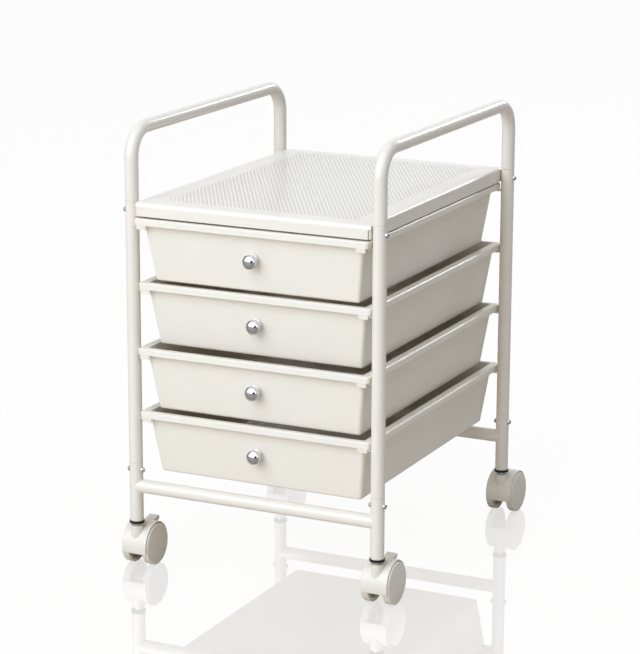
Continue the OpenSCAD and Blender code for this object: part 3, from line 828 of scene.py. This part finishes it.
@dataclass
class Bin:
    """A moulded bin: flanged rim with a down-turned lip, tapered walls and a rounded foot."""

    bench: Bench
    level: int
    rim_side: float = 8.5 * MM
    rim_front: float = 6.2 * MM
    rim_rear: float = 3.6 * MM
    rim_thick: float = 2 * MM
    lip_height: float = 8 * MM
    lip_thick: float = 1.5 * MM
    lip_lean: float = 0.08
    rim_corner: float = 3.5 * MM
    wall: float = 1.8 * MM
    floor: float = 2 * MM
    corner: float = 4 * MM
    foot: float = 3 * MM
    draft_side: float = 0.133
    draft_front: float = 0.16
    draft_rear: float = 0.15
    rim_round: float = 1.3 * MM
    rim_ease: float = 0.6 * MM
    mouth_round: float = 0.9 * MM
    edge_round: float = 0.35 * MM
    least_rim: float = 0.6 * MM
    least_round: float = 0.3 * MM
    corner_steps: int = 7
    foot_steps: int = 6
    tab_width: float = 12 * MM
    tab_drop: float = 4.7 * MM
    tab_thick: float = 1.8 * MM
    tab_set_back: float = 0.04 * MM
    seat_radius: float = 7.5 * MM
    seat_rise: float = 0.2 * MM
    seat_steps: int = 40
    knob_radius: float = 8.3 * MM
    slot_place: float = 143.4 * MM
    slot_width: float = 3.2 * MM
    hold: float = 0.4 * MM
    shape: Shape = field(default_factory=Shape)

    @property
    def node(self) -> str:
        """The drawer's node."""
        return f"drawer_{self.level}"

    @property
    def size(self) -> Vector:
        """Size of the bin, from the rim to its underside."""
        return extent(self.node)

    def build(self) -> None:
        """Makes the bin and stands it in for the plainer one."""
        low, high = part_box(self.node)
        self.shape.skin([self._ring(station) for station in self._stations()], capped=True)
        self._tabs()
        self._seat()
        origin = Vector(((low.x + high.x) / 2, low.y, high.z))
        self.bench.stand(f"bin_{self.level}", self.shape.moved(origin), Finish.BIN_PLASTIC,
                         self.node, cut=self._slots().moved(origin))

    def _stations(self) -> list[Station]:
        """The section, from the middle of the floor, over the rim and lip, to the underside."""
        depth, edge, lip = self.size.z, self.edge_round, -self.lip_height
        mouth = arc((self.mouth_round, self.mouth_round), -self.mouth_round, 0, 90, 3)
        lead = self.rim_round + self.rim_ease * math.tan(math.pi / 8)
        rim = [(self.rim_round + self.hold, 0.0),
               *arc((lead, -self.rim_ease), self.rim_ease, 90, 135, 3),
               *arc((self.rim_ease, -lead), self.rim_ease, 135, 180, 3),
               (0.0, -self.rim_round - self.hold)]
        slope = [(0.0, edge + self.hold + lip), *arc((edge, edge + lip), edge, 180, 270, 2)]
        under = [(self.lip_thick - edge, lip), (self.lip_thick, edge + lip),
                 (self.lip_thick, -self.rim_thick)]
        return [*reversed(self._walls(self.wall, depth - self.floor, self.foot - self.wall)),
                *(self._wall_station(self.wall, down, -out) for out, down in mouth),
                *(self._rim(inset, height) for inset, height in rim),
                *(self._rim(inset, height, 1.0) for inset, height in slope),
                *(self._rim(inset, height) for inset, height in under),
                *self._walls(0.0, depth, self.foot, self.rim_thick)]

    def _rim(self, inset: float, height: float, lean: float = 0.0) -> Station:
        """A station on the rim, or with a lean of 1 on the lip, whose sides slope."""
        radius = max(self.rim_corner - inset, self.least_rim)
        return Station(inset - lean * self.lip_lean * height, inset, inset, height, radius)

    def _wall_station(self, inward: float, down: float, bulge: float) -> Station:
        """A station on a wall, by its distances from the outside, the top and its own slope."""
        more = inward + bulge
        return Station(self.rim_side + self.draft_side * down + more,
                       self.rim_front + self.draft_front * down + more,
                       self.rim_rear + self.draft_rear * down + more,
                       -down, self.corner - more)

    def _walls(self, inward: float, depth: float, foot: float, start: float = 0.0
               ) -> list[Station]:
        """Stations down a wall and round the foot, to the flat of the floor.

        Args:
            inward: 0 for the outside of the wall, its thickness for the inside.
            depth: where the flat lies, under the rim's top.
            foot: the radius between wall and flat.
            start: where the wall starts, under the rim's top; 0 leaves that station out.

        Returns:
            The stations, from the top down.
        """
        stations = [self._wall_station(inward, start, 0.0)] if start else []
        tangent = math.atan(self.draft_side)
        bottom = depth - foot
        stations.append(self._wall_station(inward, bottom - foot * 0.5, 0.0))
        for step in range(self.foot_steps + 1):
            turn = tangent + (math.pi / 2 - tangent) * step / self.foot_steps
            level = self._wall_station(inward, bottom, foot * (1 - math.cos(turn)))
            stations.append(Station(level.side, level.front, level.rear,
                                    -bottom - foot * math.sin(turn), level.radius))
        last = stations[-1]
        stations.append(Station(last.side + self.hold, last.front + self.hold,
                                last.rear + self.hold, last.height, last.radius - self.hold))
        return stations

    def _ring(self, station: Station) -> Ring:
        """Points of one rounded rectangle.

        Args:
            station: its size, height and corner radius.

        Returns:
            The ring, from the front right corner round to the front left one.
        """
        half = self.size.x / 2 - station.side
        radius = max(station.radius, self.least_round)
        front, rear = station.front + radius, self.size.y - station.rear - radius
        ways = [Vector(way) * self.hold for way in ((1, 0, 0), (0, 1, 0), (-1, 0, 0), (0, -1, 0))]
        ring: Ring = []
        for index, (side, y) in enumerate(((1, front), (1, rear), (-1, rear), (-1, front))):
            points = [Vector((*spot, station.height)) for spot in arc(
                (side * (half - radius), y), radius, 90 * index - 90, 90 * index,
                self.corner_steps)]
            ring += [points[0] - ways[index], *points, points[-1] + ways[(index + 1) % 4]]
        return ring

    def _tabs(self) -> None:
        """Adds the two tabs that stop against the rails."""
        outer = self.size.x / 2 - self.rim_corner
        ease = self.edge_round
        top = -self.lip_height / 2
        for side in (-1, 1):
            left, right = sorted((side * outer, side * (outer - self.tab_width)))
            rings = []
            for y, inset in ((self.tab_set_back, ease), (ease, 0.0),
                             (self.tab_thick - ease, 0.0), (self.tab_thick, ease)):
                foot = -self.lip_height - self.tab_drop + inset
                rings.append([Vector((left + inset, y, foot)), Vector((right - inset, y, foot)),
                              Vector((right - inset, y, top)), Vector((left + inset, y, top))])
            self.shape.skin(rings, capped=True)

    def _slots(self) -> Shape:
        """Cutters for the slots in the back of the lip, where the rails pass."""
        cutters = Shape()
        half = self.slot_width / 2
        for side in (-1, 1):
            spot = Vector((side * self.slot_place, self.size.y, -self.rim_thick))
            cutters.block(spot - Vector((half, 1.5 * self.lip_thick, self.lip_height)),
                          spot + Vector((half, self.lip_thick / 2, 0.0)))
        return cutters

    def _seat(self) -> None:
        """Adds the round seat that the knob stands on."""
        drop = self.size.z / 2
        face = self.rim_front + self.draft_front * (drop - self.knob_radius) - self.seat_rise
        back = self.rim_front + self.draft_front * (drop + self.seat_radius) + self.wall
        profile = [(0.0, face), (self.seat_radius - self.edge_round, face),
                   (self.seat_radius, face + self.edge_round), (self.seat_radius, back), (0.0, back)]
        self.shape.turned(profile, lambda across, up, along: Vector((across, along, up - drop)),
                          self.seat_steps)


@dataclass
class Knob:
    """A turned, plated knob: skirt, groove and a button head with a rounded edge."""

    bench: Bench
    level: int
    skirt: float = 2.2 * MM
    groove: float = 1.8 * MM
    groove_depth: float = 0.7 * MM
    head_edge: float = 1.2 * MM
    head_steps: int = 8
    bulge: float = 3 * MM
    ease: float = 0.3 * MM
    ease_steps: int = 3
    steps: int = 64

    def build(self) -> None:
        """Makes the knob and stands it in for the plainer one."""
        node = f"knob_{self.level}"
        centre, size = middle(node), extent(node)
        back, radius, ease = centre.y + size.y / 2, size.x / 2, self.ease
        neck = radius - self.groove_depth
        waist = self.skirt + self.groove
        flat = radius - self.head_edge
        edge_at = size.y - self.bulge - self.head_edge
        face_radius = self.head_edge + (flat ** 2 + self.bulge ** 2) / (2 * self.bulge)
        meet = math.degrees(math.asin(flat / (face_radius - self.head_edge)))
        profile = [(0.0, 0.0), (radius - ease, 0.0), (radius, ease)]
        for spot, start, end in (((radius - ease, self.skirt - ease), 0, 90),
                                 ((neck + ease, self.skirt + ease), 270, 180),
                                 ((neck + ease, waist - ease), 180, 90),
                                 ((radius - ease, waist + ease), 270, 360)):
            profile += arc(spot, ease, start, end, self.ease_steps)
        profile += arc((flat, edge_at), self.head_edge, 0, 90 - meet, self.head_steps)
        profile += arc((0.0, size.y - face_radius), face_radius, 90 - meet, 90,
                       self.head_steps)[1:]
        shape = Shape()
        shape.turned(profile, lambda across, up, along: Vector(
            (centre.x + across, back - along, centre.z + up)), self.steps)
        self.bench.stand(f"turned_knob_{self.level}", shape, Finish.CHROME, node)


class End(Enum):
    """The two ends of the cart."""

    FRONT = "front"
    REAR = "rear"


@dataclass
class Caster:
    """Twin-wheel swivel caster: hood with its boss, two wheels, and a lock at the front."""

    bench: Bench
    end: End
    side: str
    hood_wall: float = 1.4 * MM
    hood_gap: float = 0.9 * MM
    hood_front: float = 15.0
    hood_rear: float = 20.0
    hood_edge: Edge = Edge(0.35 * MM)
    turn_steps: int = 46
    web_half: float = 8.5 * MM
    hub: float = 8.5 * MM
    boss: float = 7.5 * MM
    boss_foot: float = 8 * MM
    boss_rise: float = 27 * MM
    boss_steps: int = 48
    socket: float = 4.05 * MM
    pocket_half: float = 6.9 * MM
    cheek_start: float = 15 * MM
    cheek_gap: float = 0.5 * MM
    slot_start: float = 26.5 * MM
    tread: float = 3.5 * MM
    wheel_edge: float = 1.2 * MM
    wheel_face: float = 2.6 * MM
    wheel_hub: float = 6.5 * MM
    hub_inset: float = 0.2 * MM
    bore: float = 3.05 * MM
    bore_end: float = 2.4 * MM
    wheel_steps: int = 72
    ribs: int = 6
    rib_half: float = 0.6 * MM
    rib_start: float = 3 * MM
    pivot: Pair = (22 * MM, 41.5 * MM)
    pivot_radius: float = 2 * MM
    pivot_steps: int = 24
    neck: Pair = (9 * MM, 1 * MM)
    heel: Pair = (8 * MM, 1.5 * MM)
    lever_half: float = 6.4 * MM
    lever_thick: float = 6 * MM
    lever_edge: Edge = Edge(1.1 * MM, 4)

    def build(self) -> None:
        """Makes the caster's pieces."""
        self._hood()
        for place in ("outer", "inner"):
            self._wheel(place)
        if self.locking:
            self._lever()

    @property
    def locking(self) -> bool:
        """Whether the caster has a wheel lock."""
        return self.end is End.FRONT

    @property
    def tag(self) -> str:
        """The caster's place, as the nodes name it."""
        return f"{self.end.value}_{self.side}"

    @property
    def stem(self) -> Vector:
        """Where the stem's axis meets the floor."""
        spot = middle(f"leg_{self.tag}")
        return Vector((spot.x, spot.y, 0.0))

    @property
    def axle(self) -> Pair:
        """Distance of the axle behind the stem, and its height."""
        spot = middle(f"axle_{self.tag}")
        return spot.y - self.stem.y, spot.z

    @property
    def wheel_radius(self) -> float:
        """Radius of the wheels."""
        return extent(f"wheel_{self.tag}_outer").z / 2

    def _hood(self) -> None:
        """Makes the hood with its web and boss."""
        shape = Shape()
        self._shell(shape)
        self._web(shape)
        self._boss(shape)
        self.bench.stand(f"caster_hood_{self.tag}", shape.moved(self.stem),
                         Finish.CASTER_PLASTIC, f"hood_{self.tag}", edge=self.hood_edge)

    def _shell(self, shape: Shape) -> None:
        """Adds the curved shell over the wheels, slotted where the lock comes through.

        Args:
            shape: the hood's mesh.
        """
        half = extent(f"hood_{self.tag}").x / 2
        inner = self.wheel_radius + self.hood_gap
        outer = inner + self.hood_wall
        start, end = self.hood_rear, 180 + self.hood_front
        spans = [(start, end, -half, half)]
        if self.locking:
            slot_end = math.degrees(math.acos((self.slot_start - self.axle[0]) / outer))
            spans = [(slot_end, end, -half, half), (start, slot_end, -half, -self.pocket_half),
                     (start, slot_end, self.pocket_half, half)]
        for first, last, left, right in spans:
            steps = max(4, int(self.turn_steps * (last - first) / (end - start)))
            outside, inside = (arc(self.axle, r, first, last, steps) for r in (outer, inner))
            shape.skin([[Vector((left, *a)), Vector((right, *a)), Vector((right, *b)),
                         Vector((left, *b))] for a, b in zip(outside, inside)], capped=True)

    def _web(self, shape: Shape) -> None:
        """Adds the web between the wheels, with cheeks where it holds a lock.

        Args:
            shape: the hood's mesh.
        """
        reach = self.wheel_radius + self.hood_gap + self.hood_wall * 0.5
        axle = self.axle
        back = axle[0] + self.hub
        split = self.cheek_start if self.locking else back
        ledge = axle[1] + self.hub + self.cheek_gap

        def crown(first: float, last: float, steps: int) -> list[Pair]:
            """The web's upper arc between two places behind the stem."""
            start, end = (math.degrees(math.acos((y - axle[0]) / reach)) for y in (first, last))
            return arc(axle, reach, start, end, steps)

        outline = arc(axle, self.hub, 180, 360, 16)
        if self.locking:
            outline += [(back, ledge), (split, ledge)]
        outline += [*crown(split, -self.boss, 12), (-self.boss, axle[1])]
        shape.slab(outline, -self.web_half, self.web_half)
        if self.locking:
            cheek = [(split, ledge), (back, ledge), *crown(back, split, 6)]
            shape.slab(cheek, -self.web_half, -self.pocket_half)
            shape.slab(cheek, self.pocket_half, self.web_half)

    def _boss(self, shape: Shape) -> None:
        """Adds the upright boss that the stem turns in."""
        foot, top = (self.axle[1] + rise for rise in (self.boss_foot, self.boss_rise))
        profile = [(self.socket, foot), (self.socket, top), (self.boss, top), (self.boss, foot)]
        shape.turned(profile, lambda across, up, along: Vector((across, up, along)),
                     self.boss_steps, looped=True)

    def _wheel(self, place: str) -> None:
        """Makes one wheel, turned and ribbed behind its face.

        Args:
            place: outer or inner.
        """
        node = f"wheel_{self.tag}_{place}"
        centre, width = middle(node), extent(node).x
        outward = 1.0 if centre.x > self.stem.x else -1.0
        radius, edge = self.wheel_radius, self.wheel_edge
        rim, back, end = radius - self.tread, width - self.wheel_face, width - self.bore_end

        def spot(across: float, up: float, along: float) -> Vector:
            """A point of the wheel, along from its inner side."""
            return centre + Vector((outward * (along - width / 2), across, up))

        profile = [(0.0, width)]
        profile += [(r, w) for w, r in arc((width - edge, radius - edge), edge, 0, 90, 5)]
        profile += [(radius, width / 2)]
        profile += [(r, w) for w, r in arc((edge, radius - edge), edge, 90, 180, 5)]
        profile += [(rim, 0.0), (rim, back), (self.wheel_hub, back),
                    (self.wheel_hub, self.hub_inset), (self.bore, self.hub_inset),
                    (self.bore, end), (0.0, end)]
        shape = Shape()
        shape.turned(profile, spot, self.wheel_steps)
        for rib in range(self.ribs):
            turn = Matrix.Rotation(math.tau * rib / self.ribs, 2)
            foot = [turn @ Vector((reach, side * self.rib_half)) for reach, side in (
                (self.wheel_hub, -1), (rim, -1), (rim, 1), (self.wheel_hub, 1))]
            shape.skin([[spot(*corner, along) for corner in foot]
                        for along in (self.rib_start, back)], capped=True)
        self.bench.stand(f"turned_{node}", shape, Finish.WHEEL_PLASTIC, node)

    def _lever(self) -> None:
        """Makes the wheel lock's lever."""
        node = f"lever_{self.tag}"
        half = self.lever_thick / 2
        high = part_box(node)[1] - self.stem
        tip = (high.y - half, high.z - half)
        neck = (self.pivot[0] + self.neck[0], self.pivot[1] + self.neck[1])
        heel = (tip[0] - self.heel[0], tip[1] - self.heel[1])
        shape = Shape()
        shape.slab(ribbon([self.pivot, neck, heel, tip], half, 8), -self.lever_half,
                   self.lever_half)
        shape.turned([(0.0, -self.web_half), (self.pivot_radius, -self.web_half),
                      (self.pivot_radius, self.web_half), (0.0, self.web_half)],
                     lambda across, up, along: Vector(
                         (along, self.pivot[0] + across, self.pivot[1] + up)), self.pivot_steps)
        self.bench.stand(f"lock_{node}", shape.moved(self.stem), Finish.CASTER_PLASTIC, node,
                         edge=self.lever_edge)


# The studio


@dataclass(frozen=True)
class Lamp:
    """A square soft lamp: its place from the aim, its side, and its power in watts."""

    name: str
    spot: Triple
    size: float
    power: float


@dataclass(frozen=True)
class Mask:
    """Part of the room that lies one way, by the cosines at which it starts and is whole."""

    way: Triple
    edge: float
    full: float

    def shade(self, recipe: Recipe) -> Shade:
        """Builds the mask.

        Args:
            recipe: the room's node tree.

        Returns:
            0 outside the part, 1 inside it.
        """
        ray = recipe.add("ShaderNodeTexCoord", output="Generated")
        cosine = recipe.add("ShaderNodeVectorMath", {"operation": "DOT_PRODUCT"},
                            {0: ray, 1: tuple(Vector(self.way).normalized())}, output="Value")
        return ((cosine - self.edge) * (1.0 / (self.full - self.edge))).clamped()


@dataclass
class Studio:
    """Camera at the photograph's angle, soft lamps, white room and gloss floor."""

    azimuth: float = 25.7
    elevation: float = 14.1
    roll: float = 0.17
    lens: float = 138.33
    reach: float = 50.0
    camera_spot: Triple = (1.2729, -2.6611, 1.0101)
    floor_size: float = 14.0
    aim_height: float = 0.27
    lamps: tuple[Lamp, ...] = (Lamp("key", (-0.8, -3.1, 2.0), 3.2, 100.0),
                               Lamp("top", (0.5, 0.3, 3.0), 2.6, 21.0),
                               Lamp("rim", (0.8, 3.1, 1.5), 0.5, 20.0))
    lamp_colour: Triple = (0.97, 0.985, 1.0)
    room_colour: Triple = (1.0, 0.995, 0.985)
    room_light: float = 0.37
    deep_colour: Triple = (1.0, 0.74, 0.42)
    deep_light: float = 0.12
    dim: float = 0.40
    dusk: float = 0.12
    card: float = 1.4
    ahead: Mask = Mask((0.0, -1.0, 0.0), 0.22, 0.42)
    above: Mask = Mask((0.0, 0.0, 1.0), 0.0, 0.06)
    patch: Mask = Mask((0.47, -0.87, 0.12), 0.96, 0.98)
    behind: Mask = Mask((-0.43, 0.9, 0.1), 0.66, 0.78)

    def build(self, centre: Vector) -> None:
        """Sets up the studio.

        Args:
            centre: the floor point midway between the posts.
        """
        bpy.context.scene.view_settings.view_transform = "Standard"
        self._camera(centre)
        self._room()
        self._floor()
        for lamp in self.lamps:
            self._lamp(lamp, centre + Vector((0, 0, self.aim_height)))

    def _camera(self, centre: Vector) -> None:
        """Adds the camera.

        Args:
            centre: the floor point midway between the posts.
        """
        turn, lift, roll = (math.radians(v) for v in (self.azimuth, self.elevation, self.roll))
        back = Vector((math.sin(turn) * math.cos(lift), -math.cos(turn) * math.cos(lift),
                       math.sin(lift)))
        level = Vector((math.cos(turn), math.sin(turn), 0))
        rise = back.cross(level)
        right = level * math.cos(roll) + rise * math.sin(roll)
        up = rise * math.cos(roll) - level * math.sin(roll)
        data = bpy.data.cameras.new("photo_camera")
        data.lens = self.lens
        data.clip_end = self.reach
        camera = placed("photo_camera", data)
        axes = Matrix((right, up, back)).transposed().to_4x4()
        camera.matrix_world = Matrix.Translation(centre + Vector(self.camera_spot)) @ axes
        bpy.context.scene.camera = camera

    def _room(self) -> None:
        """Adds the room: white to the camera, and to metal white behind and dimmer in front."""
        recipe = Recipe(bpy.data.worlds.new("white_room"))
        bpy.context.scene.world = recipe.owner
        light, deep, white, dusk, dim, card, black = (
            recipe.add("ShaderNodeBackground",
                       values={"Color": (*colour, 1.0), "Strength": strength})
            for colour, strength in (
                (self.room_colour, self.room_light), (self.deep_colour, self.deep_light),
                (WHITE, 1.0), (WHITE, self.dusk), (WHITE, self.dim), (WHITE, self.card),
                (BLACK, 0.0)))
        ahead = recipe.blend(self.above.shade(recipe), dim, card)
        ahead = recipe.blend(self.patch.shade(recipe), ahead, black)
        aside = recipe.blend(self.behind.shade(recipe), dusk, white)
        mirrored = recipe.blend(self.ahead.shade(recipe), aside, ahead)
        light = recipe.blend(recipe.late(), light, deep)
        around = recipe.blend(recipe.rays("Is Glossy Ray", "Is Transmission Ray"), light, mirrored)
        recipe.finish(recipe.blend(recipe.rays("Is Camera Ray", "Is Singular Ray"), around, white))

    def _floor(self) -> None:
        """Adds the floor."""
        mesh = bpy.data.meshes.new("studio_floor")
        half = self.floor_size / 2
        mesh.from_pydata([(-half, -half, 0), (half, -half, 0), (half, half, 0), (-half, half, 0)],
                         [], [(0, 1, 2, 3)])
        mesh.materials.append(StudioFloor().material())
        placed("studio_floor", mesh)

    def _lamp(self, lamp: Lamp, aim: Vector) -> None:
        """Adds a lamp.

        Args:
            lamp: its name, place, size and power.
            aim: the point that it faces.
        """
        data = bpy.data.lights.new(lamp.name, "AREA")
        data.size = lamp.size
        data.energy = lamp.power
        recipe = Recipe(data)
        glow, late = (recipe.add("ShaderNodeEmission", values={"Color": (*colour, 1.0)})
                      for colour in (self.lamp_colour, self.deep_colour))
        recipe.finish(recipe.blend(recipe.late(), glow, late))
        thing = placed(lamp.name, data)
        thing.location = aim + Vector(lamp.spot)
        thing.rotation_euler = (aim - thing.location).to_track_quat("-Z", "Y").to_euler()


def post_centre() -> Vector:
    """The floor point midway between the four posts."""
    spot = (middle("post_front_left") + middle("post_rear_right")) / 2
    return Vector((spot.x, spot.y, 0.0))


def main() -> None:
    """Loads the frame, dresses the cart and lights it."""
    logging.basicConfig(level=logging.INFO, format="%(name)s: %(message)s")
    bench = Bench(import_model())
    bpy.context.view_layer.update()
    TubeFrame(bench).build()
    Fasteners(bench).build()
    PerforatedShelf(bench).build()
    for level in range(1, 5):
        Bin(bench, level).build()
        Knob(bench, level).build()
    for end in End:
        for side in ("left", "right"):
            Caster(bench, end, side).build()
    Studio().build(post_centre())


if __name__ == "__main__":
    main()
